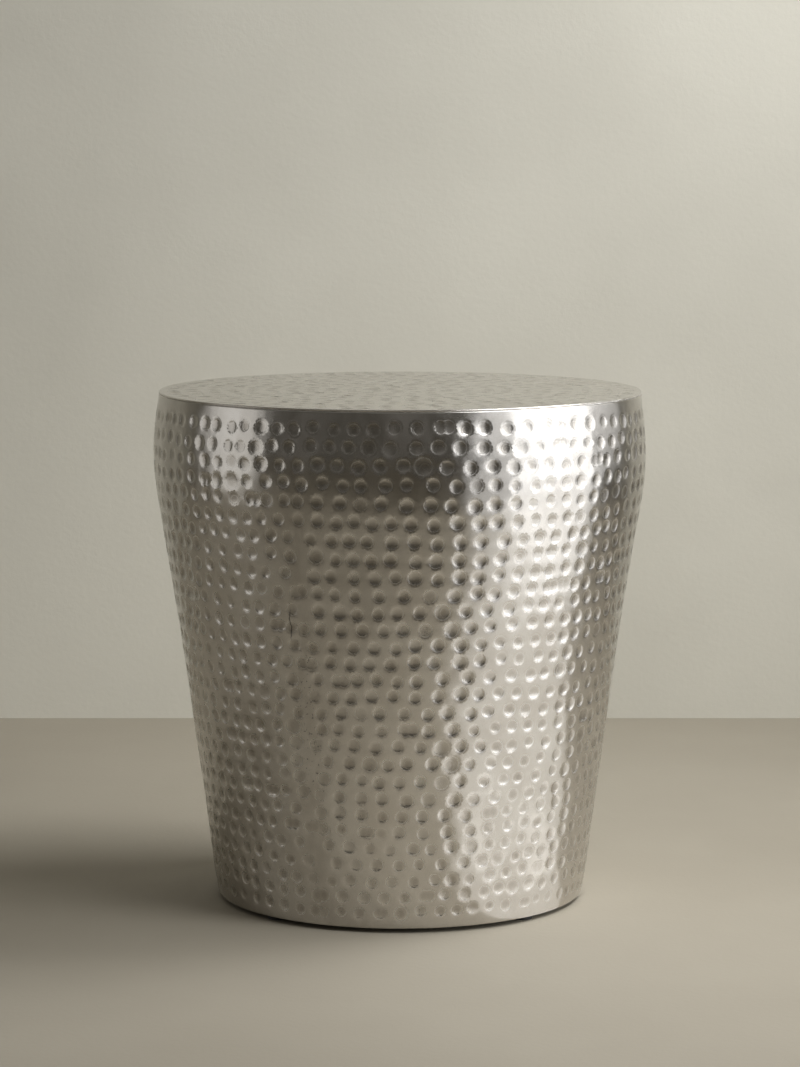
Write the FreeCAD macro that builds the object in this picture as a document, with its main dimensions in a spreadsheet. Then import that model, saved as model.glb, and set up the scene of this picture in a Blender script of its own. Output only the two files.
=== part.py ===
import FreeCAD, Part
import math
import os
import sys
import Sketcher
from FreeCAD import Placement, Rotation, Vector

# A drum side table of hammered aluminium, in millimetres, +Z up, its front towards -Y.
# The origin is on the floor, on the axis of the drum.
# One raised side shell is folded in at its foot and closed above by a welded top disc.
# A backing panel in two halves is glued under the thin top, and the flange at the foot
# takes the studs of four rubber glides.

SIZES = [
    ("overall_height", 470, "floor to table top"),
    ("belly_radius", 227, "outside of the shell at its widest"),
    ("belly_drop", 55, "from the table top down to the widest place"),
    ("shoulder_radius", 246, "curve of the shoulder, in section"),
    ("toe_height", 24, "above the floor, where the long flank ends and the toe turns in"),
    ("toe_radius", 173.8, "outside of the shell where the toe turns in"),
    ("foot_radius", 170.2, "outside of the shell at the fold"),
    ("fold_bevel", 1.6, "dressed edge of the fold into the flange"),
    ("flange_width", 28, "flat of the flange, from the fold to the mouth"),
    ("wall", 1.6, "shell sheet"),
    ("top_sheet", 2, "top disc sheet"),
    ("top_bevel", 1.2, "dressed edge of the table top"),
    ("seam_angle", 246, "side seam, seen from above, from +X; the front is 270"),
    ("bead_width", 6, "weld bead inside the seam"),
    ("bead_height", 1.1, "how far the bead stands off the inner wall"),
    ("bead_margin", 4, "from the bead's ends to the turn of the toe and to the top"),
    ("panel_thickness", 9, "backing panel"),
    ("panel_gap", 3, "between the panel's edge and the shell"),
    ("panel_kerf", 3, "between the two halves of the panel"),
    ("glide_angle", 45, "first glide, from +X"),
    ("glide_thickness", 3, "rubber of a glide"),
    ("glide_radius", 10, "rubber of a glide"),
    ("plate_thickness", 1, "steel plate bonded to the rubber"),
    ("plate_radius", 9, "steel plate bonded to the rubber"),
    ("stud_radius", 2.5, "threaded stud on the plate"),
    ("stud_length", 11, "threaded stud above its plate"),
    ("stud_gap", 0.25, "flange hole and washer over the stud, on the radius"),
    ("thread_gap", 0.05, "nut over the stud, on the radius"),
    ("washer_radius", 7, "glide washer"),
    ("washer_thickness", 1, "glide washer"),
    ("nut_width", 8, "glide nut across its flats"),
    ("nut_height", 4, "glide nut"),
]
GLIDES = ["rear_right", "rear_left", "front_left", "front_right"]


class Size:
    """A size on the sheet or worked out from it: text for expressions, value for first guesses."""

    def __init__(self, text, value):
        self.text = text
        self.value = float(value)

    def __add__(self, other):
        return Size(f"({self.text} + {other.text})", self.value + other.value)

    def __sub__(self, other):
        return Size(f"({self.text} - {other.text})", self.value - other.value)

    def __mul__(self, other):
        return Size(f"({self.text} * {other.text})", self.value * other.value)

    def __truediv__(self, other):
        return Size(f"({self.text} / {other.text})", self.value / other.value)


def square_root(number):
    return Size(f"sqrt({number.text})", math.sqrt(number.value))


class size:
    """Every driving size of the sheet, by its alias."""


doc = FreeCAD.newDocument("drum_side_table")
sheet = doc.addObject("Spreadsheet::Sheet", "sizes")
for row, (alias, number, meaning) in enumerate(SIZES, start=1):
    sheet.set(f"A{row}", alias)
    sheet.set(f"B{row}", str(number))
    sheet.set(f"C{row}", meaning)
    sheet.setAlias(f"B{row}", alias)
    setattr(size, alias, Size(f"sizes.{alias}", number))
doc.recompute()

# ---------------------------------------------------------------- shared places

ZERO = Size("0", 0)
HALF = Size("0.5", 0.5)
shell_top = size.overall_height - size.top_sheet
belly_height = size.overall_height - size.belly_drop
curve_centre = size.belly_radius - size.shoulder_radius


def rim_at(inset):
    """Radius of the shell's upper edge, on a line moved in from its outside by inset."""
    radius = size.shoulder_radius - inset
    rise = shell_top - belly_height
    return curve_centre + square_root(radius * radius - rise * rise)


rim_radius = rim_at(ZERO)
inner_rim = rim_at(size.wall)
panel_foot = shell_top - size.panel_thickness
panel_radius = inner_rim - size.panel_gap

flange_foot = size.glide_thickness + size.plate_thickness
flange_top = flange_foot + size.wall
fold_top = flange_foot + size.fold_bevel
toe_run = size.toe_radius - size.foot_radius
toe_rise = size.toe_height - fold_top
toe_slant = square_root(toe_run * toe_run + toe_rise * toe_rise)
fold_reach = size.foot_radius - (fold_top - flange_top) * toe_run / toe_rise
inner_fold = fold_reach - size.wall * toe_slant / toe_rise
flange_rim = size.foot_radius - size.fold_bevel
mouth_radius = flange_rim - size.flange_width
glide_circle = flange_rim - size.flange_width * HALF
stud_hole = size.stud_radius + size.stud_gap
stud_tip = flange_foot + size.stud_length
washer_top = flange_top + size.washer_thickness

# ---------------------------------------------------------------- drawing and features


def new_body(label):
    body = doc.addObject("PartDesign::Body", label)
    body.Label = label
    return body


def origin_of(body, role):
    return next(item for item in body.Origin.OriginFeatures if item.Role == role)


def new_sketch(body, label, plane, height=ZERO):
    """A sketch on one of its body's origin planes, or at a height over it."""
    sketch = body.newObject("Sketcher::SketchObject", label)
    sketch.AttachmentSupport = [(origin_of(body, plane), "")]
    sketch.MapMode = "FlatFace"
    sketch.setExpression("AttachmentOffset.Base.z", height.text)
    return sketch


def rule(sketch, *words):
    return sketch.addConstraint(Sketcher.Constraint(*words))


def dimension(sketch, kind, ends, length):
    """A dimension that is bound to the sheet."""
    index = rule(sketch, kind, *ends, length.value)
    sketch.setExpression(f"Constraints[{index}]", length.text)


def place(sketch, item, point, x, z):
    """Put a point of an item at its distances from the origin: on an axis where one is zero."""
    if x is ZERO:
        rule(sketch, "PointOnObject", item, point, -2)
    elif x is not None:
        dimension(sketch, "DistanceX", (-1, 1, item, point), x)
    if z is ZERO:
        rule(sketch, "PointOnObject", item, point, -1)
    elif z is not None:
        dimension(sketch, "DistanceY", (-1, 1, item, point), z)


def line(sketch, start, end):
    points = [Vector(x.value, z.value, 0) for x, z in (start, end)]
    return sketch.addGeometry(Part.LineSegment(*points), False)


def arc(sketch, centre, radius, start, end):
    """An arc, from its centre and first guesses of its two angles."""
    curve = Part.Circle(centre, Vector(0, 0, 1), radius.value)
    item = sketch.addGeometry(Part.ArcOfCircle(curve, start, end), False)
    dimension(sketch, "Radius", (item,), radius)
    return item


def circle(sketch, radius, x=ZERO):
    """A circle round the origin, or round a point of the first axis."""
    curve = Part.Circle(Vector(x.value, 0, 0), Vector(0, 0, 1), radius.value)
    item = sketch.addGeometry(curve, False)
    place(sketch, item, 3, x, ZERO)
    dimension(sketch, "Radius", (item,), radius)


def outline(sketch, corners):
    """A closed outline of straight edges, level or upright where two corners share a size."""
    count = len(corners)
    for item, corner in enumerate(corners):
        line(sketch, corner, corners[(item + 1) % count])
    for item in range(count):
        rule(sketch, "Coincident", item, 2, (item + 1) % count, 1)
    place(sketch, 0, 1, *corners[0])
    for item in range(1, count):
        (old_x, old_z), (x, z) = corners[item - 1], corners[item]
        upright = x.text == old_x.text
        level = z.text == old_z.text
        if upright:
            rule(sketch, "Vertical", item - 1)
        if level:
            rule(sketch, "Horizontal", item - 1)
        place(sketch, item, 1, None if upright else x, None if level else z)


def finish(body, feature):
    """A body's newest feature."""
    body.Tip = feature
    return feature


def revolve(body, sketch, label, axis="V_Axis"):
    feature = body.newObject("PartDesign::Revolution", label)
    feature.Profile = sketch
    feature.ReferenceAxis = (sketch, [axis])
    feature.Angle = 360
    return finish(body, feature)


def pad(body, sketch, label, length):
    feature = body.newObject("PartDesign::Pad", label)
    feature.Profile = sketch
    feature.setExpression("Length", length.text)
    return finish(body, feature)


def repeat(body, feature, label):
    """The same feature again at every glide, round the drum's axis."""
    pattern = body.newObject("PartDesign::PolarPattern", label)
    pattern.Originals = [feature]
    pattern.Axis = (origin_of(body, "Z_Axis"), [""])
    pattern.Angle = 360
    pattern.Occurrences = len(GLIDES)
    return finish(body, pattern)


def turn_about_axis(body, angle):
    """Turn a whole body about the drum's axis."""
    body.Placement = Placement(Vector(), Rotation(Vector(0, 0, 1), angle.value))
    body.setExpression("Placement.Rotation.Angle", angle.text)


# ---------------------------------------------------------------- the side shell


def shoulder_and_flank(sketch, inset):
    """Shoulder arc and the straight flank tangent to it, moved in from the outside by inset."""
    fall = belly_height.value - size.toe_height.value
    lean = -math.atan2(size.belly_radius.value - size.toe_radius.value, fall)
    reach = size.shoulder_radius.value - inset.value
    rise = math.asin((shell_top.value - belly_height.value) / reach)
    centre = Vector(curve_centre.value, belly_height.value, 0)
    out = Vector(math.cos(lean), math.sin(lean), 0)
    down = Vector(out.y, -out.x, 0)
    flank_top = centre + out * reach
    shoulder = arc(sketch, centre, size.shoulder_radius - inset, lean, rise)
    flank = sketch.addGeometry(Part.LineSegment(flank_top, flank_top + down * fall), False)
    place(sketch, shoulder, 3, curve_centre, belly_height)
    rule(sketch, "Tangent", shoulder, 1, flank, 1)
    return shoulder, flank


def sheet_section(body):
    """The sheet in section: its outside, the fold and flange at the foot, and its inside."""
    sketch = new_sketch(body, "sheet_section", "XZ_Plane")
    inner_toe_radius = size.toe_radius - size.wall
    shoulder, flank = shoulder_and_flank(sketch, ZERO)
    toe = line(sketch, (size.toe_radius, size.toe_height), (size.foot_radius, fold_top))
    fold = line(sketch, (size.foot_radius, fold_top), (flange_rim, flange_foot))
    floor = line(sketch, (flange_rim, flange_foot), (mouth_radius, flange_foot))
    mouth = line(sketch, (mouth_radius, flange_foot), (mouth_radius, flange_top))
    flange = line(sketch, (mouth_radius, flange_top), (inner_fold, flange_top))
    inner_toe = line(sketch, (inner_fold, flange_top), (inner_toe_radius, size.toe_height))
    inner_shoulder, inner_flank = shoulder_and_flank(sketch, size.wall)
    rim = line(sketch, (inner_rim, shell_top), (rim_radius, shell_top))
    joined = [
        (flank, 2, toe, 1),
        (toe, 2, fold, 1),
        (fold, 2, floor, 1),
        (floor, 2, mouth, 1),
        (mouth, 2, flange, 1),
        (flange, 2, inner_toe, 1),
        (inner_toe, 2, inner_flank, 2),
        (inner_shoulder, 2, rim, 1),
        (rim, 2, shoulder, 2),
    ]
    for ends in joined:
        rule(sketch, "Coincident", *ends)
    for level in (floor, flange, rim):
        rule(sketch, "Horizontal", level)
    rule(sketch, "Vertical", mouth)
    place(sketch, toe, 1, size.toe_radius, size.toe_height)
    place(sketch, fold, 1, size.foot_radius, fold_top)
    place(sketch, floor, 1, flange_rim, flange_foot)
    place(sketch, mouth, 1, mouth_radius, None)
    place(sketch, flange, 2, inner_fold, flange_top)
    place(sketch, rim, 2, None, shell_top)
    rule(sketch, "Parallel", inner_toe, toe)
    rule(sketch, "Parallel", inner_flank, flank)
    return sketch


def bead_section(body, sheet_sketch):
    """The weld bead inside the seam: from half way into the sheet to its own height."""
    sketch = new_sketch(body, "bead_section", "XZ_Plane")
    edges = sheet_sketch.Shape.Edges
    longest = max(range(len(edges)), key=lambda item: edges[item].Length)
    sketch.addExternal(sheet_sketch.Name, f"Edge{longest + 1}")
    shell_flank = -3
    sunk = shoulder_and_flank(sketch, size.wall * HALF)
    proud = shoulder_and_flank(sketch, size.wall + size.bead_height)
    bead_ends = [(1, 2, size.toe_height + size.bead_margin), (0, 2, shell_top - size.bead_margin)]
    for curves in (sunk, proud):
        rule(sketch, "Parallel", curves[1], shell_flank)
        for curve, point, height in bead_ends:
            place(sketch, curves[curve], point, None, height)
    for curve, point, _ in bead_ends:
        start = sketch.getPoint(sunk[curve], point)
        stop = sketch.getPoint(proud[curve], point)
        end = sketch.addGeometry(Part.LineSegment(start, stop), False)
        rule(sketch, "Coincident", end, 1, sunk[curve], point)
        rule(sketch, "Coincident", end, 2, proud[curve], point)
    return sketch


def side_shell():
    """Raised, seam-welded and hammered sheet with a folded foot, drilled for the glides."""
    body = new_body("side_shell")
    sheet_sketch = sheet_section(body)
    revolve(body, sheet_sketch, "drum")
    doc.recompute()
    bead = revolve(body, bead_section(body, sheet_sketch), "seam_bead")
    bead.Midplane = True
    turn = f"{size.bead_width.text} / {size.belly_radius.text} * 180 / pi"
    bead.setExpression("Angle", turn)
    from_seam = size.glide_angle - size.seam_angle
    hole_sketch = new_sketch(body, "glide_hole_outline", "XY_Plane", flange_foot)
    hole_sketch.setExpression("AttachmentOffset.Rotation.Angle", from_seam.text)
    circle(hole_sketch, stud_hole, glide_circle)
    hole = body.newObject("PartDesign::Pocket", "glide_hole")
    hole.Profile = hole_sketch
    hole.Reversed = True
    hole.setExpression("Length", size.wall.text)
    repeat(body, finish(body, hole), "glide_holes")
    turn_about_axis(body, size.seam_angle)
    return body


# ---------------------------------------------------------------- the top


def top_disc():
    """Sheet disc on the shell's upper edge, welded round and dressed at its own edge."""
    body = new_body("top_disc")
    sketch = new_sketch(body, "disc_section", "XZ_Plane")
    outline(sketch, [
        (ZERO, shell_top),
        (rim_radius, shell_top),
        (rim_radius, size.overall_height - size.top_bevel),
        (rim_radius - size.top_bevel, size.overall_height),
        (ZERO, size.overall_height),
    ])
    revolve(body, sketch, "disc")
    return body


def panel_half(side, turn):
    """Half of the backing panel, glued under the top; a whole one wouldn't pass the mouth."""
    label = f"backing_panel_{side}"
    body = new_body(label)
    sketch = new_sketch(body, f"{label}_outline", "XY_Plane", panel_foot)
    half_kerf = size.panel_kerf * HALF
    reach = square_root(panel_radius * panel_radius - half_kerf * half_kerf)
    corner = math.atan2(reach.value, half_kerf.value)
    rim = arc(sketch, Vector(), panel_radius, -corner, corner)
    cut = line(sketch, (half_kerf, reach), (half_kerf, ZERO - reach))
    rule(sketch, "Coincident", rim, 3, -1, 1)
    rule(sketch, "Coincident", rim, 2, cut, 1)
    rule(sketch, "Coincident", cut, 2, rim, 1)
    rule(sketch, "Vertical", cut)
    place(sketch, cut, 1, half_kerf, None)
    pad(body, sketch, f"{label}_board", size.panel_thickness)
    turn_about_axis(body, Size(str(turn), turn))
    return body


# ---------------------------------------------------------------- the glides


def glide(corner, quarters):
    """Moulded rubber glide, bonded under its steel plate."""
    label = f"glide_{corner}"
    body = new_body(label)
    sketch = new_sketch(body, f"{label}_outline", "XY_Plane")
    circle(sketch, size.glide_radius)
    pad(body, sketch, f"{label}_rubber", size.glide_thickness)
    angle = f"({size.glide_angle.text} + {quarters} * 90) * 1 deg"
    body.setExpression("Placement.Base.x", f"{glide_circle.text} * cos({angle})")
    body.setExpression("Placement.Base.y", f"{glide_circle.text} * sin({angle})")
    return body


def glide_studs():
    """Steel plates with welded studs: the plate on the rubber, the stud through the flange."""
    body = new_body("glide_studs")
    sketch = new_sketch(body, "stud_section", "XZ_Plane")
    outline(sketch, [
        (glide_circle, size.glide_thickness),
        (glide_circle + size.plate_radius, size.glide_thickness),
        (glide_circle + size.plate_radius, flange_foot),
        (glide_circle + size.stud_radius, flange_foot),
        (glide_circle + size.stud_radius, stud_tip),
        (glide_circle, stud_tip),
    ])
    ends = [Vector(glide_circle.value, height.value, 0) for height in (flange_foot, stud_tip)]
    axis = sketch.addGeometry(Part.LineSegment(*ends), True)
    rule(sketch, "Coincident", axis, 1, 0, 1)
    rule(sketch, "Coincident", axis, 2, 5, 1)
    repeat(body, revolve(body, sketch, "stud", "Axis0"), "studs")
    turn_about_axis(body, size.glide_angle)
    return body


def glide_washers():
    """Washers on the flange."""
    body = new_body("glide_washers")
    sketch = new_sketch(body, "washer_outline", "XY_Plane", flange_top)
    circle(sketch, size.washer_radius, glide_circle)
    circle(sketch, stud_hole, glide_circle)
    repeat(body, pad(body, sketch, "washer", size.washer_thickness), "washers")
    turn_about_axis(body, size.glide_angle)
    return body


def glide_nuts():
    """Hexagon nuts, which pull the glides up against the flange."""
    body = new_body("glide_nuts")
    sketch = new_sketch(body, "nut_outline", "XY_Plane", washer_top)
    flat = size.nut_width * HALF
    corner = size.nut_width / square_root(Size("3", 3))
    beside = corner * HALF
    outline(sketch, [
        (glide_circle + corner, ZERO),
        (glide_circle + beside, flat),
        (glide_circle - beside, flat),
        (glide_circle - corner, ZERO),
        (glide_circle - beside, ZERO - flat),
        (glide_circle + beside, ZERO - flat),
    ])
    circle(sketch, size.stud_radius + size.thread_gap, glide_circle)
    repeat(body, pad(body, sketch, "nut", size.nut_height), "nuts")
    turn_about_axis(body, size.glide_angle)
    return body


pieces = [
    side_shell(),
    top_disc(),
    panel_half("right", 0),
    panel_half("left", 180),
    glide_studs(),
    glide_washers(),
    glide_nuts(),
]
for quarters, corner in enumerate(GLIDES):
    pieces.append(glide(corner, quarters))
doc.recompute()

# ---------------------------------------------------------------- checks and files

faults = []
for item in doc.Objects:
    if "Invalid" in item.State or "Error" in item.State:
        faults.append(f"{item.Name} is {item.State}")
    if item.TypeId == "Sketcher::SketchObject" and not item.FullyConstrained:
        faults.append(f"{item.Name} isn't fully constrained")
for piece in pieces:
    if piece.Shape.isNull() or not piece.Shape.isValid():
        faults.append(f"{piece.Label} has no valid shape")
if faults:
    sys.exit("\n".join(faults))

os.makedirs("parts", exist_ok=True)
for piece in pieces:
    piece.Shape.exportStep(f"parts/{piece.Label}.step")
    print(f"{piece.Label}: {len(piece.Shape.Solids)} solid(s)")
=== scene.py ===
"""Drum side table in hammered aluminium, put together piece by piece."""

import math
import random

import bmesh
import bpy
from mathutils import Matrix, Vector, geometry, kdtree, noise


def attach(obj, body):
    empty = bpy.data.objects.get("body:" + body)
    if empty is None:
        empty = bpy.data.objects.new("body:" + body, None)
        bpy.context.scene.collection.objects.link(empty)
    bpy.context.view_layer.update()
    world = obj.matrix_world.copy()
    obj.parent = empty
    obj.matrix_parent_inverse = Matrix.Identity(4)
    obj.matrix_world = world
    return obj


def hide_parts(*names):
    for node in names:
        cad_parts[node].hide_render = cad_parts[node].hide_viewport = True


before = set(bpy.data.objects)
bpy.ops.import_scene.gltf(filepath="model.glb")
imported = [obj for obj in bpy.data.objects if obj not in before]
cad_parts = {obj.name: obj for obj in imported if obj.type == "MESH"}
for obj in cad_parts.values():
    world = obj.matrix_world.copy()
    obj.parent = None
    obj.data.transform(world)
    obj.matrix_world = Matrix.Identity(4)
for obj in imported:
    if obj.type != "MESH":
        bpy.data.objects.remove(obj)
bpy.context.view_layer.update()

MM = 0.001
bpy.ops.object.select_all(action="DESELECT")


# ------------------------------------------------------------- side shell
# One aluminium sheet, rolled and seam welded, raised to a shouldered taper
# and dented in rows with a ball punch. Its foot is folded in to a flat
# flange, and the weld bead is left standing on the inside.

SHEET = 1.6 * MM
# the outside from the rim down: shoulder, belly, slightly hollow flank, toe
RIM_HEIGHT = 467.3 * MM
SHOULDER_BEND = 245.4 * MM
BELLY_HEIGHT = 415 * MM
BELLY_RADIUS = 226.8 * MM
LOWER_BEND = 254 * MM
FLANK_TOP = 374.4 * MM
FLANK_HOLLOW = 9290 * MM
TOE_TOP = 32.7 * MM
TOE_BEND = 233 * MM
FOOT_HEIGHT = 5.5 * MM


def arc_drop(bend, run):
    """How far an arc of radius bend falls away over a run along its tangent."""
    return bend - math.sqrt(bend * bend - run * run)


def flank_lean(height):
    """Slope of the outside, as radius gained for each unit of height."""
    if height >= BELLY_HEIGHT:
        run = height - BELLY_HEIGHT
        return -run / math.sqrt(SHOULDER_BEND**2 - run * run)
    if height >= FLANK_TOP:
        run = BELLY_HEIGHT - height
        return run / math.sqrt(LOWER_BEND**2 - run * run)
    if height >= TOE_TOP:
        return flank_lean(FLANK_TOP) - (FLANK_TOP - height) / FLANK_HOLLOW
    return flank_lean(TOE_TOP) + (TOE_TOP - height) / TOE_BEND


def sheet_radius(height):
    """Outside radius of the drum at a height."""
    if height >= BELLY_HEIGHT:
        return BELLY_RADIUS - arc_drop(SHOULDER_BEND, height - BELLY_HEIGHT)
    if height >= FLANK_TOP:
        return BELLY_RADIUS - arc_drop(LOWER_BEND, BELLY_HEIGHT - height)
    if height >= TOE_TOP:
        mean_lean = (flank_lean(FLANK_TOP) + flank_lean(height)) / 2
        return sheet_radius(FLANK_TOP) - mean_lean * (FLANK_TOP - height)
    mean_lean = (flank_lean(TOE_TOP) + flank_lean(height)) / 2
    return sheet_radius(TOE_TOP) - mean_lean * (TOE_TOP - height)


# each ring of points that carries a dent: its share of the radius, and how many
DENT_RINGS = ((0.42, 5), (0.74, 9), (0.94, 12), (1.13, 11))
# the rim and the lip round it, as shares of a dent's radius and of its depth
RIM_SHARE = 1.05
LIP_SHARE = 0.5
LIP_HEIGHT = 0.07
DENT_REACH = 12 * MM
# no two points of the net are nearer than about this
NET_CELL = 0.9 * MM
EDGE_CLEAR = 0.5 * MM
SAME_PLACE = 1e-7
ROUND = 2 * math.pi


def dent_points(dent):
    """The centre and four rings that carry one dent."""
    across, along, radius, _, stretch, turn = dent
    yield across, along
    for share, count in DENT_RINGS:
        for step in range(count):
            angle = turn + ROUND * step / count + share
            reach = share * radius
            yield (
                across + stretch * reach * math.cos(angle),
                along + reach * math.sin(angle),
            )


def dent_depth(dent, across, along):
    """Depth of one dent at a place: steep just inside its rim, rounded below,
    with a slight lip pushed up round it."""
    x, y, radius, depth, stretch, _ = dent
    share = math.hypot((across - x) / stretch, along - y) / radius
    if share > RIM_SHARE:
        return -LIP_HEIGHT * depth * max(0, 1 - (share - RIM_SHARE) / LIP_SHARE)
    return depth * (1.02 - (share / RIM_SHARE) ** 2.4)


def hammered_face(name, dents, border, spots, lay):
    """A sheet's outer face with dents pressed in. Its net of triangles is drawn
    flat, through the border, the spots and the dents, and then laid in place.
    Each corner keeps its place in the nearest dent, and the turn of its punch."""
    left = min(point[0] for point in border) + EDGE_CLEAR
    right = max(point[0] for point in border) - EDGE_CLEAR
    near = kdtree.KDTree(len(dents))
    for item, dent in enumerate(dents):
        near.insert((dent[0], dent[1], 0), item)
    near.balance()
    flat, taken = list(border), set()
    for point in [*spots, *(p for dent in dents for p in dent_points(dent))]:
        key = round(point[0] / NET_CELL), round(point[1] / NET_CELL)
        if key not in taken and left < point[0] < right:
            taken.add(key)
            flat.append(point)
    count = len(border)
    edges = [(step, (step + 1) % count) for step in range(count)]
    points, _, faces, *_ = geometry.delaunay_2d_cdt(
        [Vector(point) for point in flat], edges, [], 1, SAME_PLACE
    )
    mesh = bpy.data.meshes.new(name)
    places = []
    for point in points:
        depths = [0]
        for _, item, _ in near.find_range((*point, 0), DENT_REACH):
            depths.append(dent_depth(dents[item], *point))
        depth = max(depths) or min(depths)
        place, normal = lay(*point)
        places.append(place - normal * depth)
    mesh.from_pydata(places, [], faces)
    own = mesh.uv_layers.new(name="dents").data
    strikes = mesh.uv_layers.new(name="strikes").data
    for polygon in mesh.polygons:
        middle = sum((points[v] for v in polygon.vertices), Vector((0, 0))) / 3
        nearest = min(
            near.find_n((*middle, 0), 3),
            key=lambda hit: hit[2] / dents[hit[1]][2],
        )
        x, y, radius, _, stretch, turn = dents[nearest[1]]
        for loop in polygon.loop_indices:
            across, along = points[mesh.loops[loop].vertex_index]
            own[loop].uv = ((across - x) / radius / stretch, (along - y) / radius)
            strikes[loop].uv = (0, turn / ROUND)
    piece = bpy.data.objects.new(name, mesh)
    bpy.context.collection.objects.link(piece)
    return piece


SEAM_ANGLE = math.radians(246)
UNROLLED = 200 * MM  # the drum's radius when it is drawn flat
SWAY = 0.95 * MM  # how deep the soft flats of the raising are
LEAST_SINK = 0.02 * MM
CALM_EDGE = 14 * MM
FLATS, BANDS, RIPPLES = 27, 25, 62  # waves to the metre
FLAT_DRAW, BAND_DRAW = 0.35, 0.1  # how far they are drawn out up the sheet


def share_of(value, start, run):
    """How far a value is along a run, from 0 to 1."""
    return min(1, max(0, (value - start) / run))


def lay_on_drum(across, along):
    """Where a place on the unrolled sheet comes to, and which way it faces."""
    angle = SEAM_ANGLE + across / UNROLLED
    lean = flank_lean(along)
    out = Vector((math.cos(angle), math.sin(angle), 0))
    normal = Vector((out.x, out.y, -lean)).normalized()
    place = out * sheet_radius(along) + Vector((0, 0, along))
    tall = Vector((place.x, place.y, place.z * FLAT_DRAW))
    upright = Vector((place.x, place.y, place.z * BAND_DRAW))
    wave = 0.85 + noise.noise(tall * FLATS) * 0.6 + noise.noise(upright * BANDS) * 1.3
    wave += noise.noise(place * RIPPLES) * 0.2
    calm = min(
        share_of(RIM_HEIGHT - along, 0, CALM_EDGE),
        share_of(along, FOOT_HEIGHT, CALM_EDGE),
    )
    return place - normal * (max(0, wave) * SWAY + LEAST_SINK) * calm, normal


FRONT = math.radians(278)
FRONT_SPREAD = math.radians(17)
PLAIN_RIM = 14.8 * MM
PLAIN_FOOT = 7 * MM
ROW_SWAY = 1.6 * MM
STRAY = 1.4 * MM
HEAVY_BLOWS, LIGHT_BLOWS, DOUBLE_BLOWS = 0.05, 0.07, 0.03  # out of 1
SPARED_SEAM = 20 * MM
SPARED_TOP = 400 * MM
STEPS_ALONG = (0.86, 0.94, 1, 1, 1.06, 1.14)
OVERLAP = 10 * MM

# The dents, row by row from the rim down. Those near the toe are small, and
# those at the front a little larger and wider apart. Sums are in millimetres.
hand = random.Random(31)
width = ROUND * UNROLLED
shell_dents = []
height = RIM_HEIGHT - PLAIN_RIM
row = 0
while height > FOOT_HEIGHT + PLAIN_FOOT:
    fall = (RIM_HEIGHT - height) / RIM_HEIGHT
    radius = sheet_radius(height)
    full = share_of(height, 8 * MM, 24 * MM)
    angle = hand.uniform(0, 18 * MM) / radius
    while angle < ROUND:
        from_front = abs(angle + SEAM_ANGLE - FRONT + math.pi) % ROUND - math.pi
        wide = math.exp(-((from_front / FRONT_SPREAD) ** 2))
        wide *= share_of(height, 60 * MM, 60 * MM)
        pitch = (17.9 + 2.4 * wide - 0.3 * fall) * MM
        sway = ROW_SWAY * math.sin(3 * angle + row * 0.4) + hand.uniform(-STRAY, STRAY)
        blow = hand.random()
        size = (4 + full + 0.9 * blow + 0.4 * wide) * MM
        depth = (0.34 + 0.32 * full + 0.36 * blow + 0.1 * wide + 0.12 * fall) * MM
        if hand.random() < HEAVY_BLOWS:
            size *= hand.uniform(1.1, 1.35)
        if hand.random() < LIGHT_BLOWS:
            depth *= 0.45
        from_seam = min(angle, ROUND - angle) * radius
        if from_seam < SPARED_SEAM and height < SPARED_TOP:
            depth *= 0.6 + 0.4 * from_seam / SPARED_SEAM
        stretch = UNROLLED / radius * hand.uniform(0.94, 1.06)
        turn = hand.uniform(0, ROUND)
        strikes = [angle * UNROLLED]
        if hand.random() < DOUBLE_BLOWS:
            strikes.append(strikes[0] + size)
        for strike in strikes:
            for across in (strike - width, strike, strike + width):
                if -OVERLAP < across < width + OVERLAP:
                    dent = across, height + sway, size, depth, stretch, turn
                    shell_dents.append(dent)
        angle += pitch * hand.choice(STEPS_ALONG) / radius
    height -= (16.3 - 1.4 * fall) * MM * (1 - flank_lean(height) ** 2 / 2)
    row += 1

RING_COUNT = 240
SEAM_COUNT = 400
drum_height = RIM_HEIGHT - FOOT_HEIGHT
ring_steps = [width * step / RING_COUNT for step in range(RING_COUNT + 1)]
seam_steps = [drum_height * step / SEAM_COUNT for step in range(SEAM_COUNT)]
border = [
    *((across, RIM_HEIGHT) for across in ring_steps[:-1]),
    *((width, RIM_HEIGHT - fall) for fall in seam_steps),
    *((across, FOOT_HEIGHT) for across in ring_steps[:0:-1]),
    *((0, FOOT_HEIGHT + climb) for climb in seam_steps),
]
# even rings of points, so that the rim and the foot run true
spots = [
    (width * (step + shift) / RING_COUNT, level)
    for level, shift in (
        (RIM_HEIGHT - 0.8 * MM, 0),
        (RIM_HEIGHT - 6 * MM, 0.5),
        (FOOT_HEIGHT + 2 * MM, 0),
    )
    for step in range(1, RING_COUNT)
]
side_shell = hammered_face(
    "hammered_side_shell", shell_dents, border, spots, lay_on_drum
)

# steps in millimetres, inward with a climb or a drop, round the rim and the fold
RIM_STEPS = ((0.22, 0.4), (0.5, 0.7))
FOLD_STEPS = ((0.22, 0.75), (0.7, 1.2), (1.6, 1.5))
INSIDE_HEIGHTS = (466, 461, 450, 434, 415, 394, 374, 300, 220, 140, 70, 33, 14, 7, 5.6)
WAVY_FROM, WAVY_TO = 10 * MM, 463 * MM
FLANGE_FOOT = 4 * MM
MOUTH_RADIUS = 140.6 * MM
GLIDE_CIRCLE = 154.6 * MM
STUD_HOLE = 2.75 * MM
GLIDE_TURNS = [math.radians(turn) for turn in (45, 135, 225, 315)]
NEAR = 0.01 * MM


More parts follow.
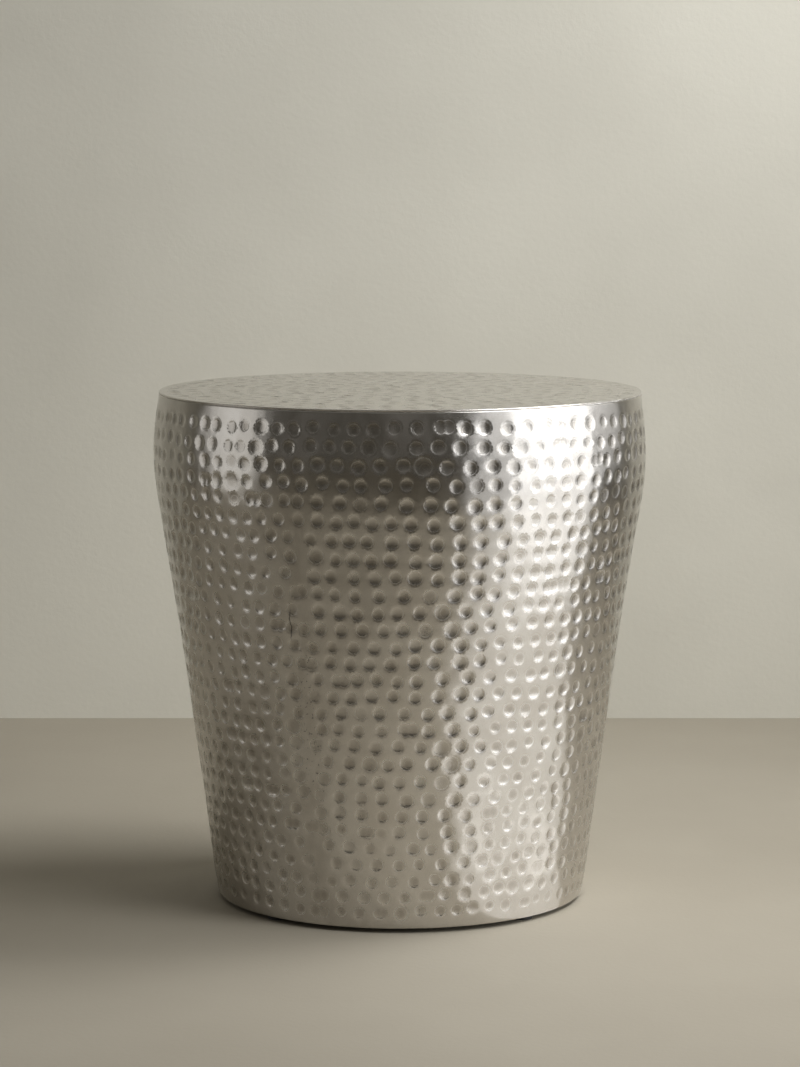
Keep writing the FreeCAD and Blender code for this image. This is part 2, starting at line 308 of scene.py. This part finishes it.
def in_edit_mode(piece):
    """Opens one piece for editing with nothing in it selected."""
    bpy.ops.object.select_all(action="DESELECT")
    bpy.context.view_layer.objects.active = piece
    piece.select_set(True)
    bpy.ops.object.mode_set(mode="EDIT")
    bpy.ops.mesh.select_mode(type="VERT")
    bpy.ops.mesh.select_all(action="DESELECT")


def pick(piece, wanted):
    """Selects the vertices, and the edges and faces between them, by place."""
    bpy.ops.mesh.select_all(action="DESELECT")
    mesh = bmesh.from_edit_mesh(piece.data)
    for vertex in mesh.verts:
        if wanted(vertex.co):
            vertex.select_set(True)
    mesh.select_flush(True)
    bmesh.update_edit_mesh(piece.data)


def draw_ring(start, end):
    """Extrudes the picked ring from one (radius, height) to another."""
    rise = (0, 0, end[1] - start[1])
    bpy.ops.mesh.extrude_edges_move(TRANSFORM_OT_translate={"value": rise})
    scale = end[0] / start[0]
    bpy.ops.transform.resize(value=(scale, scale, 1), center_override=(0, 0, 0))
    return end


def drill_ring(count, radius, middle=(0, 0)):
    """The edge of a round hole in the flange, the sheet's thickness deep."""
    bpy.ops.mesh.select_all(action="DESELECT")
    bpy.ops.mesh.primitive_circle_add(
        vertices=count, radius=radius, location=(*middle, FLANGE_FOOT)
    )
    bpy.ops.mesh.extrude_edges_move(TRANSFORM_OT_translate={"value": (0, 0, SHEET)})


def across_of(place):
    """A place's distance from the drum's axis."""
    return math.hypot(place.x, place.y)


def inside_radius(height):
    """Inside radius of the sheet at a height, set in clear of its waves."""
    waves = 1.65 * SWAY if WAVY_FROM < height < WAVY_TO else 0
    return sheet_radius(height) - (SHEET + waves) * math.hypot(1, flank_lean(height))


class Wire:
    """One output in a material's node tree, so that shader maths reads as sums.
    Sums on it add Math nodes, and node() adds a node of any other kind."""

    def __init__(self, tree, socket=None):
        self.tree, self.socket = tree, socket

    def node(self, kind, settings=(), values=(), output=0):
        made = self.tree.nodes.new("ShaderNode" + kind)
        for name, setting in dict(settings).items():
            setattr(made, name, setting)
        for name, value in dict(values).items():
            if isinstance(value, Wire):
                self.tree.links.new(value.socket, made.inputs[name])
            else:
                made.inputs[name].default_value = value
        return Wire(self.tree, made.outputs[output] if made.outputs else None)

    def sum(self, operation, *values):
        return self.node("Math", {"operation": operation}, enumerate(values))

    def __add__(self, other):
        return self.sum("ADD", self, other)

    def __sub__(self, other):
        return self.sum("SUBTRACT", self, other)

    def __rsub__(self, other):
        return self.sum("SUBTRACT", other, self)

    def __mul__(self, other):
        return self.sum("MULTIPLY", self, other)

    __radd__, __rmul__ = __add__, __mul__

    def over(self, low, high):
        """This value's run from low to high, softened, as 0 to 1."""
        ends = {"Value": self, "From Min": low, "From Max": high}
        return self.node("MapRange", {"interpolation_type": "SMOOTHSTEP"}, ends)

    def dot(self, direction):
        """How far this place lies along a direction."""
        values = {0: self, 1: direction}
        return self.node("VectorMath", {"operation": "DOT_PRODUCT"}, values, 1)

    def part(self, axis):
        """This place along one axis: 0 for x, 1 for y, 2 for z."""
        return self.node("SeparateXYZ", (), {0: self}, axis)

    def distance(self, other=(0, 0, 0)):
        """How far this place is from another."""
        values = {0: self, 1: other}
        return self.node("VectorMath", {"operation": "DISTANCE"}, values, 1)

    def blend(self, first, second):
        """Colour first where this value is 0, and second where it is 1."""
        values = {0: self, 6: first, 7: second}
        return self.node("Mix", {"data_type": "RGBA"}, values, 2)

    def grain(self, size, detail=2, roughness=0.5):
        """Cloudy noise from 0 to 1, with lumps of about this size."""
        values = {"Scale": 1 / size, "Detail": detail, "Roughness": roughness}
        return self.node("TexNoise", (), {"Vector": self, **values})

    def stretched(self, scale):
        """This place scaled apart along its axes."""
        return self.node("Mapping", (), {"Vector": self, "Scale": scale})


def new_finish(name):
    """A new material, with its place on the piece to start patterns from."""
    material = bpy.data.materials.new(name)
    material.use_nodes = True
    material.node_tree.nodes.clear()
    start = Wire(material.node_tree)
    return material, start, start.node("TexCoord", output=3)


def show(start, see_through=None, **values):
    """Ends a material in its surface, with each named socket's value or link."""
    names = {name.replace("_", " "): value for name, value in values.items()}
    surface = start.node("BsdfPrincipled", (), names)
    if see_through:
        clear = start.node("BsdfTransparent")
        surface = start.node("MixShader", (), {0: see_through, 1: surface, 2: clear})
    start.node("OutputMaterial", (), {"Surface": surface})


def raised(start, height, distance, onto=None):
    """Normals of a fine relief, in metres of distance."""
    values = {"Height": height, "Distance": distance}
    if onto:
        values["Normal"] = onto
    return start.node("Bump", (), values)


CRACK_ASIDE = 12 * MM
CRACK_WIDTHS = 0.25 * MM, 0.7 * MM


def seam_marks(start, place):
    """Marks left along the seam's outside: its pinholes and one fine crack,
    with how near the seam a place is, all from 0 to 1."""
    out = math.cos(SEAM_ANGLE), math.sin(SEAM_ANGLE), 0
    outside = place.dot(out).over(0, 50 * MM)
    across = place.dot((-out[1], out[0], 0))
    height = place.part(2)
    wander = start.node("CombineXYZ", (), {2: height}).grain(9 * MM, 3) - 0.5
    gap = start.sum("ABSOLUTE", across + CRACK_ASIDE + wander * 6 * MM)
    tall = height.over(262 * MM, 272 * MM) * (1 - height.over(286 * MM, 296 * MM))
    crack = (1 - gap.over(*CRACK_WIDTHS)) * tall * outside
    near = start.sum("ABSOLUTE", across + wander * 14 * MM)
    tall = height.over(100 * MM, 150 * MM) * (1 - height.over(250 * MM, 300 * MM))
    holes = place.grain(2.6 * MM, 2, 0.6).over(0.65, 0.69)
    holes = holes * (1 - near.over(5 * MM, 11 * MM)) * tall * outside
    return holes, crack, (1 - near.over(3 * MM, 16 * MM)) * outside


SATIN, PALE_SATIN = (0.59, 0.565, 0.53, 1), (0.66, 0.64, 0.61, 1)
# dark tone in the dents' bowls: partly patina, partly painted shade
DENT_STAIN_AND_PAINTED_SHADE = 0.34, 0.31, 0.27, 1
SECOND_MARK = 0.68, 0.65, 0.6, 1
# pale tone on the dents' rims: a painted highlight
PAINTED_RIM_HIGHLIGHT = 0.84, 0.82, 0.79, 1
PIT_DIRT = 0.3, 0.28, 0.25, 1
SEAM_STAIN = 0.4, 0.37, 0.33, 1
SEAM_HOLE = 0.05, 0.045, 0.04, 1


def hammered_aluminium(name, stain_and_shade, lumpy, scratched, seamed=False):
    """Satin aluminium: dents with a painted highlight on their rims, smudges and fine
    scratches.
    A dent's bowl is darkened by the given share, partly as patina and partly as painted
    shade. Lumpy and scratched are depths of relief."""
    material, start, place = new_finish(name)
    own = start.node("UVMap", {"uv_map": "dents"})
    reach = own.distance()
    rim = reach.over(0.86, 0.98) * (1 - reach.over(1.03, 1.15))
    bowl = 1 - reach.over(0.3, 1.02)
    # the punch's second mark, a ring struck a little to one side of the first
    strike = start.node("UVMap", {"uv_map": "strikes"}).part(1)
    turn = strike * ROUND
    across, along = (start.sum(wave, turn) * 0.3 for wave in ("COSINE", "SINE"))
    second = own.distance(start.node("CombineXYZ", (), {0: across, 1: along}))
    mark = second.over(0.5, 0.6) * (1 - second.over(0.63, 0.74)) * strike.over(0.3, 0.8)
    # wear, from the broad clouds down to the pits
    clouds = place.grain(38 * MM, 4, 0.6)
    smears = place.stretched((1, 1, 0.35)).grain(11 * MM, 3, 0.6)
    brush = place.stretched((1, 1, 5)).grain(2.4 * MM, 5, 0.7)
    lumps = place.grain(2.2 * MM, 3, 0.6)
    specks = place.grain(0.8 * MM, 2, 0.6)
    pits = specks.over(0.69, 0.76)
    tone = clouds.over(0.3, 0.7).blend(SATIN, PALE_SATIN)
    # the bowls darkened, partly patina and partly painted shade
    tone = (bowl * (0.09 + strike * stain_and_shade + lumps * 0.26)).blend(tone, DENT_STAIN_AND_PAINTED_SHADE)
    tone = (mark * 0.3).blend(tone, SECOND_MARK)
    # the rims lightened, a painted highlight
    tone = (rim * 0.2).blend(tone, PAINTED_RIM_HIGHLIGHT)
    tone = (pits * 0.4).blend(tone, PIT_DIRT)
    rough = 0.18 + smears.over(0.4, 0.75) * 0.08 + bowl * 0.04 + rim * 0.09
    fine = brush * 0.6 + specks * 0.3 - pits * 1.2
    if seamed:
        holes, crack, near = seam_marks(start, place)
        tone = (near * smears.over(0.35, 0.6) * 0.3).blend(tone, SEAM_STAIN)
        tone = start.sum("MAXIMUM", holes * 0.9, crack * 0.9).blend(tone, SEAM_HOLE)
        fine = fine - holes * 4 - crack * 3
    normal = raised(start, reach.over(0.98, 1.45), 0.17 * MM)
    normal = raised(start, lumps * bowl + mark * 0.5, lumpy, normal)
    normal = raised(start, fine, scratched, normal)
    show(start, Base_Color=tone, Metallic=1.0, Roughness=rough, Normal=normal)
    return material


BACKS_TO_THE_METRE = 55


def mill_aluminium():
    """The sheet's inside: dull as rolled, with the backs of the dents."""
    material, start, place = new_finish("mill_aluminium")
    clouds = place.grain(30 * MM, 4, 0.6)
    rolled = place.stretched((1, 1, 12)).grain(1.6 * MM, 4, 0.6)
    spacing = {"Vector": place, "Scale": BACKS_TO_THE_METRE}
    backs = 1 - start.node("TexVoronoi", {"feature": "F1"}, spacing).over(0.1, 0.42)
    tone = clouds.over(0.3, 0.7).blend((0.42, 0.41, 0.39, 1), (0.52, 0.51, 0.49, 1))
    rough = 0.38 + clouds * 0.12
    normal = raised(start, backs, 0.3 * MM)
    normal = raised(start, rolled, 0.02 * MM, normal)
    show(start, Base_Color=tone, Metallic=1.0, Roughness=rough, Normal=normal)
    return material


in_edit_mode(side_shell)
bpy.ops.mesh.select_all(action="SELECT")
bpy.ops.mesh.remove_doubles(threshold=0.002 * MM)
bpy.ops.mesh.normals_make_consistent(inside=False)

# the fold at the foot, and the flange with its holes for the glide studs
pick(side_shell, lambda place: place.z < FOOT_HEIGHT + NEAR)
foot = sheet_radius(FOOT_HEIGHT)
ring = foot, FOOT_HEIGHT
for inward, drop in FOLD_STEPS:
    ring = draw_ring(ring, (foot - inward * MM, FOOT_HEIGHT - drop * MM))
drill_ring(RING_COUNT, MOUTH_RADIUS)
for turn in GLIDE_TURNS:
    middle = math.cos(turn) * GLIDE_CIRCLE, math.sin(turn) * GLIDE_CIRCLE
    drill_ring(20, STUD_HOLE, middle)
pick(side_shell, lambda place: abs(place.z - FLANGE_FOOT) < NEAR)
bpy.ops.mesh.fill()

# the upper edge and the inside of the sheet, down to the flange
pick(side_shell, lambda place: place.z > RIM_HEIGHT - NEAR)
ring = sheet_radius(RIM_HEIGHT), RIM_HEIGHT
for inward, climb in RIM_STEPS:
    ring = draw_ring(ring, (ring[0] - inward * MM, RIM_HEIGHT + climb * MM))
ring = draw_ring(ring, (inside_radius(RIM_HEIGHT), ring[1]))
for level in INSIDE_HEIGHTS:
    ring = draw_ring(ring, (inside_radius(level * MM), level * MM))
pick(side_shell, lambda place: abs(place.z - FLANGE_FOOT - SHEET) < NEAR)
bpy.ops.mesh.fill()
bpy.ops.mesh.select_all(action="SELECT")
bpy.ops.mesh.normals_make_consistent(inside=False)
bpy.ops.object.mode_set(mode="OBJECT")


SHARP_TURN = math.radians(40)
PLAIN_WEIGHT = 50


def smooth_plain_parts(piece):
    """Shades a piece smooth, with the large plain parts kept flat up to the
    rims of the dents."""
    bpy.ops.object.select_all(action="DESELECT")
    bpy.context.view_layer.objects.active = piece
    piece.select_set(True)
    bpy.ops.object.shade_smooth_by_angle(angle=SHARP_TURN)
    weighted = piece.modifiers.new("plain_parts", "WEIGHTED_NORMAL")
    weighted.mode = "FACE_AREA"
    weighted.weight = PLAIN_WEIGHT
    weighted.keep_sharp = True
    bpy.ops.object.modifier_apply(modifier="plain_parts")


BEAD_WIDTH = 6 * MM
BEAD_CROWN = 1.397 * MM
BEAD_SUNK = 0.3 * MM
BEAD_BACK = 0.2 * MM
BEAD_FOOT = 28 * MM
BEAD_TOP = 464 * MM
BEAD_RIPPLES = 120


def weld_bead():
    """The seam's weld inside: a half round drawn up the wall in small ripples."""
    out = Vector((math.cos(SEAM_ANGLE), math.sin(SEAM_ANGLE), 0))
    side = Vector((-out.y, out.x, 0))
    bpy.ops.mesh.primitive_circle_add(vertices=12, radius=1, fill_type="NGON")
    bead = bpy.context.object
    bpy.ops.object.mode_set(mode="EDIT")
    for _ in range(BEAD_RIPPLES):
        bpy.ops.mesh.extrude_region_move(TRANSFORM_OT_translate={"value": (0, 0, 1)})
    bpy.ops.mesh.select_all(action="SELECT")
    bpy.ops.mesh.normals_make_consistent(inside=False)
    bpy.ops.object.mode_set(mode="OBJECT")
    # each third step swells, and both ends taper off
    for vertex in bead.data.vertices:
        step = vertex.co.z
        height = BEAD_FOOT + (BEAD_TOP - BEAD_FOOT) * step / BEAD_RIPPLES
        swell = 0.8 + 0.2 * (step % 3) / 2
        if step in (0, BEAD_RIPPLES):
            swell = 0.4
        wall = inside_radius(height) + BEAD_SUNK
        inward = vertex.co.y * swell * BEAD_CROWN
        vertex.co = (
            out * (wall - max(inward, -BEAD_BACK))
            + side * vertex.co.x * swell * BEAD_WIDTH / 2
            + Vector((0, 0, height))
        )
    return bead


def join_on(piece, extra):
    """Makes a weld one mesh with the piece that it stands on."""
    bpy.ops.object.select_all(action="DESELECT")
    bpy.context.view_layer.objects.active = piece
    extra.select_set(True)
    piece.select_set(True)
    bpy.ops.object.join()


side_shell.data.materials.append(
    hammered_aluminium("hammered_shell", 0.45, 0.08 * MM, 0.02 * MM, seamed=True)
)
side_shell.data.materials.append(mill_aluminium())
for face in side_shell.data.polygons:
    out = face.normal.dot(Vector((*face.center.xy, 0)).normalized())
    outside = out > 0.3 and across_of(face.center) > MOUTH_RADIUS + 25 * MM
    face.material_index = int(not outside)
bead = weld_bead()
bead.data.materials.append(side_shell.data.materials[1])
join_on(side_shell, bead)
smooth_plain_parts(side_shell)

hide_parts("side_shell")
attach(side_shell, "root")


# --------------------------------------------------------------- top disc
# Flat disc of 2 mm aluminium sheet, dented in rings from above. It is laid
# on the shell's upper edge and welded round, and the weld is dressed off.

TOP_HEIGHT = 469.88 * MM
DISC_RADIUS = 221.1 * MM
FACE_RADIUS = 220.2 * MM
# steps in millimetres, inward and down, round the disc's edge to its underside
EDGE_STEPS = ((0.5, 0.12), (0.18, 0.38), (0.0, 0.8), (0.1, 1.3), (0.8, 1.95))
PLAIN_EDGE = 13 * MM
TOP_PITCH = 20.5 * MM
TOP_RING_PITCH = 18 * MM
TOP_STRAY = 1.5 * MM


def lay_on_top(across, along):
    """Where a place on the flat disc comes to, with the soft hollows of hammering."""
    place = Vector((across, along, TOP_HEIGHT))
    wave = noise.noise(place * 18) * 0.14 * MM + noise.noise(place * 60) * 0.03 * MM
    calm = share_of(DISC_RADIUS - across_of(place), 0, CALM_EDGE)
    return place - Vector((0, 0, (abs(wave) + LEAST_SINK) * calm)), Vector((0, 0, 1))


def ring_of(radius, shift=0):
    """Evenly spaced places round a circle."""
    turns = [ROUND * (step + shift) / RING_COUNT for step in range(RING_COUNT)]
    return [(radius * math.cos(turn), radius * math.sin(turn)) for turn in turns]


# the dents, ring by ring from the edge in: most of them shallow, a few deep
top_dents = []
ring_radius = DISC_RADIUS - PLAIN_EDGE
while ring_radius > 4 * MM:
    number = max(1, round(ROUND * ring_radius / TOP_PITCH))
    start = hand.random()
    for step in range(number):
        angle = ROUND * (start + step + hand.uniform(-0.14, 0.14)) / number
        reach = ring_radius + hand.uniform(-TOP_STRAY, TOP_STRAY)
        size = (5.1 + hand.uniform(-0.5, 0.7)) * MM
        depth = (0.5 + 0.95 * hand.random() ** 3) * MM
        spot = (reach * math.cos(angle), reach * math.sin(angle))
        stretch, turn = hand.uniform(0.94, 1.06), hand.uniform(0, ROUND)
        top_dents.append((*spot, size, depth, stretch, turn))
    ring_radius -= TOP_RING_PITCH

top_disc = hammered_face(
    "hammered_top_disc",
    top_dents,
    ring_of(FACE_RADIUS),
    ring_of(FACE_RADIUS - 2.5 * MM, 0.5),
    lay_on_top,
)
in_edit_mode(top_disc)
bpy.ops.mesh.select_all(action="SELECT")
bpy.ops.mesh.normals_make_consistent(inside=False)
pick(top_disc, lambda place: across_of(place) > FACE_RADIUS - NEAR)
ring = FACE_RADIUS, TOP_HEIGHT
for inward, drop in EDGE_STEPS:
    ring = draw_ring(ring, (DISC_RADIUS - inward * MM, TOP_HEIGHT - drop * MM))
bpy.ops.mesh.edge_face_add()
bpy.ops.object.mode_set(mode="OBJECT")
top_disc.data.materials.append(
    hammered_aluminium("hammered_top", 0.8, 0.03 * MM, 0.007 * MM)
)

WELD_RADIUS = 220.6 * MM
WELD_HEIGHT = 468.05 * MM
WELD_METAL = 1 * MM
FLUSH_SHARE = 0.12
PROUD_AT = math.radians(-22)
PROUD_SPREAD = math.radians(22)


def ground_weld():
    """Weld metal ground bright by hand: uneven, with fine wheel marks."""
    material, start, place = new_finish("ground_weld")
    blobs = place.grain(2.5 * MM, 4, 0.65)
    marks = place.stretched((1, 1, 4)).grain(0.7 * MM, 3, 0.6)
    tone = blobs.over(0.35, 0.65).blend((0.5, 0.48, 0.45, 1), (0.74, 0.72, 0.69, 1))
    rough = 0.22 + blobs * 0.2
    normal = raised(start, blobs + marks * 0.2, 0.3 * MM)
    show(start, Base_Color=tone, Metallic=1.0, Roughness=rough, Normal=normal)
    return material


# the weld round the edge: flush for most of the way, and proud at the right
bpy.ops.object.select_all(action="DESELECT")
bpy.ops.mesh.primitive_torus_add(
    location=(0, 0, WELD_HEIGHT),
    major_radius=WELD_RADIUS,
    minor_radius=WELD_METAL,
    major_segments=256,
    minor_segments=10,
)
edge_weld = bpy.context.object
bpy.ops.object.transform_apply(location=True)
for vertex in edge_weld.data.vertices:
    out = Vector((*vertex.co.xy, 0)).normalized()
    middle = out * WELD_RADIUS + Vector((0, 0, WELD_HEIGHT))
    from_proud = math.atan2(out.y, out.x) - PROUD_AT
    proud = math.exp(-((from_proud / PROUD_SPREAD) ** 4))
    uneven = 0.85 + noise.noise(out * 38) * 0.7 + noise.noise(out * 130) * 0.35
    share = FLUSH_SHARE + proud * max(0.2, uneven)
    vertex.co = middle + (vertex.co - middle) * share
edge_weld.data.materials.append(ground_weld())
join_on(top_disc, edge_weld)
smooth_plain_parts(top_disc)

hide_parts("top_disc")
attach(top_disc, "root")


# --------------------------------------------------------- backing panels
# Two half discs of 9 mm MDF, glued up under the thin top so that it does
# not drum or dish. They are in halves to pass in through the foot.


def fibre_board():
    """Pressed wood fibre: fine specks, darker clouds, and faint layers in its relief.
    """
    material, start, place = new_finish("fibre_board")
    clouds = place.grain(22 * MM, 3, 0.5)
    fibre = place.grain(0.9 * MM, 4, 0.7)
    layers = place.stretched((0.2, 0.2, 1)).grain(1.2 * MM, 2, 0.5)
    tone = fibre.over(0.3, 0.7).blend((0.36, 0.235, 0.135, 1), (0.52, 0.37, 0.23, 1))
    tone = (clouds.over(0.35, 0.7) * 0.3).blend(tone, (0.3, 0.19, 0.11, 1))
    normal = raised(start, fibre * 0.6 + layers * 0.4, 0.12 * MM)
    show(start, Base_Color=tone, Roughness=0.78 + fibre * 0.12, Normal=normal)
    return material


def coat(node, material):
    """Gives a carried-over piece its own finish."""
    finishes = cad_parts[node].data.materials
    finishes.clear()
    finishes.append(material)


board = fibre_board()
for name in ("backing_panel_right", "backing_panel_left"):
    coat(name, board)


# ---------------------------------------------------- glide studs and nuts
# Zinc-plated steel: four plates with a welded stud, and for each a washer
# and a nut, which clamp the plate to the flange.


def zinc_plate():
    """Zinc on steel: pale, faintly clouded, with fine wheel marks."""
    material, start, place = new_finish("zinc_plate")
    bloom = place.grain(3 * MM, 4, 0.6)
    marks = place.stretched((1, 1, 6)).grain(0.5 * MM, 3, 0.6)
    tone = bloom.over(0.3, 0.7).blend((0.5, 0.51, 0.52, 1), (0.66, 0.67, 0.68, 1))
    normal = raised(start, marks, 0.02 * MM)
    rough = 0.3 + bloom.over(0.35, 0.75) * 0.18
    show(start, Base_Color=tone, Metallic=1.0, Roughness=rough, Normal=normal)
    return material


zinc = zinc_plate()
for name in ("glide_studs", "glide_washers", "glide_nuts"):
    coat(name, zinc)


# ----------------------------------------------------------------- glides
# Four round black rubber pads, moulded on to the stud plates. They lift
# the foot a few millimetres clear of the floor.


def moulded_rubber():
    """Black rubber, dull, with a fine moulded grain and a little dust."""
    material, start, place = new_finish("moulded_rubber")
    grain = place.grain(0.35 * MM, 3, 0.6)
    dust = place.grain(5 * MM, 3, 0.6).over(0.5, 0.8)
    tone = (dust * 0.5).blend((0.016, 0.016, 0.017, 1), (0.07, 0.066, 0.06, 1))
    normal = raised(start, grain, 0.05 * MM)
    show(start, Base_Color=tone, Roughness=0.62 + dust * 0.2, Normal=normal)
    return material


rubber = moulded_rubber()
for corner in ("rear_right", "rear_left", "front_left", "front_right"):
    coat("glide_" + corner, rubber)


# --------------------------------------------------------- floor and wall
# Plain ground to stand the table on: a pale warm floor, and a plastered wall
# a little way behind that is clear when it is seen from its back.


def pale_ground(name, low, high, size, one_sided=False):
    """Plain pale ground, faintly clouded. One-sided, it is clear from behind."""
    material, start, place = new_finish(name)
    clouds = place.grain(size, 4, 0.55)
    tone = clouds.over(0.25, 0.75).blend((*low, 1), (*high, 1))
    normal = raised(start, place.grain(6 * MM, 3, 0.6), 0.2 * MM)
    behind = start.node("NewGeometry", output="Backfacing") if one_sided else None
    show(start, behind, Base_Color=tone, Roughness=0.75, Normal=normal)
    return material


FLOOR_TONES = (0.32, 0.288, 0.228), (0.355, 0.322, 0.258)
WALL_TONES = (0.655, 0.635, 0.555), (0.725, 0.705, 0.62)
FLOOR_SIZE = 18
WALL_SCALE = 9, 4, 1
WALL_PLACE = 0, 0.92, 2

bpy.ops.mesh.primitive_plane_add(size=FLOOR_SIZE)
floor = bpy.context.object
floor.name = "floor"
floor.data.materials.append(pale_ground("pale_floor", *FLOOR_TONES, 0.5))
bpy.ops.mesh.primitive_plane_add(size=1, rotation=(math.pi / 2, 0, 0))
wall = bpy.context.object
wall.name = "wall"
wall.scale = WALL_SCALE
wall.location = WALL_PLACE
bpy.ops.object.transform_apply(location=True, rotation=True, scale=True)
wall.data.materials.append(pale_ground("greige_plaster", *WALL_TONES, 0.35, True))


# --------------------------------------------------------- lights, camera
# A tall soft window to the right with its sill, and its light where it lies
# on the floor and by the foot. A small card stands to the left, and two soft
# lights hang overhead and in front.

COOL_WHITE = 0.985, 0.99, 1
WARM_WHITE = 1, 0.985, 0.96


def soft_light(name, place, aim, size, power, spread=180, colour=COOL_WHITE):
    """A flat light at a place, turned to face its aim."""
    light = bpy.data.lights.new(name, "AREA")
    light.shape = "RECTANGLE"
    light.size, light.size_y = size
    light.energy = power
    light.spread = math.radians(spread)
    light.color = colour
    lamp = bpy.data.objects.new(name, light)
    lamp.location = place
    facing = (Vector(aim) - Vector(place)).to_track_quat("-Z", "Y")
    lamp.rotation_euler = facing.to_euler()
    bpy.context.collection.objects.link(lamp)
    return lamp


def around(turn, distance, height):
    """A place at a turn to the right of the camera's side."""
    turn = math.radians(turn)
    return distance * math.sin(turn), -distance * math.cos(turn), height


def floor_glow(name, place, size, power):
    """An oval of light that lies just off the floor and shines straight up."""
    glow = soft_light(name, place, (*place[:2], 2), size, power)
    glow.data.shape = "ELLIPSE"
    return glow


# the window's panes: turn to the right and power
WINDOW_PANES = ((43, 0.7), (58, 1.65), (74, 3.1), (90, 1.9), (107, 0.7))
WINDOW_AIM = 0.1, 0, 0.5
SILL_AIM = 0, 0, 0.2
# ovals laid over each other, so that the streak fades out: long, short and power
STREAK_OVALS = (
    (1.12, 0.76, 0.74),
    (0.96, 0.58, 0.5),
    (0.8, 0.42, 0.34),
    (0.6, 0.26, 0.14),
)
STREAK_PLACE = 0.68, -0.42, 3 * MM
STREAK_TURN = math.radians(-27)
BOUNCE_ROUNDS = ((0.29, 0.062), (0.2, 0.048), (0.11, 0.03))

for turn, power in WINDOW_PANES:
    pane_place = around(turn, 2.3, 1.1)
    soft_light("window_pane", pane_place, WINDOW_AIM, (0.62, 2.2), power, 80)
soft_light("window_side", around(119, 1.8, 1.1), WINDOW_AIM, (0.55, 2), 0.5, 80)
soft_light("sill", around(66, 0.95, 0.17), SILL_AIM, (0.75, 0.32), 0.45)
soft_light("sill_glow", around(66, 1.0, 0.17), SILL_AIM, (1.35, 0.32), 0.7)
for long, short, power in STREAK_OVALS:
    streak = floor_glow("floor_streak", STREAK_PLACE, (long, short), power)
    streak.rotation_euler = (math.pi, 0, STREAK_TURN)
for size, power in BOUNCE_ROUNDS:
    floor_glow("near_bounce", around(49, 0.31, 3 * MM), (size, size), power)
card_place = around(-80, 2.0, 0.58)
soft_light("card", card_place, (0, 0, 0.5), (1.1, 1.16), 2.6, colour=WARM_WHITE)
soft_light("overhead", (1.0, 0.25, 1.7), (-0.12, 0.52, 0.25), (0.9, 0.6), 12.4, 120)
soft_light("front_pool", (0.75, -0.8, 1.3), (0.05, -0.5, 0), (0.5, 0.5), 1.7, 70)

# the rest of the room: dim below, lighter overhead, with soft shapes in it
ROOM_BELOW, ROOM_ABOVE = (0.07, 0.065, 0.055, 1), (0.32, 0.31, 0.29, 1)
ROOM_SHAPES = 0.13, 0.122, 0.11, 1
PLAIN_BACKDROP = 0.5, 0.485, 0.435, 1

world = bpy.data.worlds.new("room")
world.use_nodes = True
backdrop = world.node_tree.nodes["Background"]
sky = Wire(world.node_tree)
facing = sky.node("TexCoord", output=0)
things = facing.stretched((1, 1, 0.35)).grain(0.28, 3, 0.55)
room = facing.part(2).over(0.4, 0.85).blend(ROOM_BELOW, ROOM_ABOVE)
room = things.over(0.5, 0.6).blend(room, ROOM_SHAPES)
seen = sky.node("LightPath", output="Is Camera Ray")
room = seen.blend(room, PLAIN_BACKDROP)
world.node_tree.links.new(room.socket, backdrop.inputs["Color"])
bpy.context.scene.world = world

CAMERA_PLACE = 0, -3.133, 0.721
CAMERA_DIP = math.radians(6.995)
CAMERA_LENS = 115.3

camera = bpy.data.objects.new("camera", bpy.data.cameras.new("camera"))
camera.location = CAMERA_PLACE
camera.rotation_euler = (math.pi / 2 - CAMERA_DIP, 0, 0)
camera.data.lens = CAMERA_LENS
bpy.context.collection.objects.link(camera)
bpy.context.scene.camera = camera
bpy.context.scene.view_settings.view_transform = "Standard"

bpy.ops.object.select_all(action="DESELECT")
bpy.context.view_layer.update()
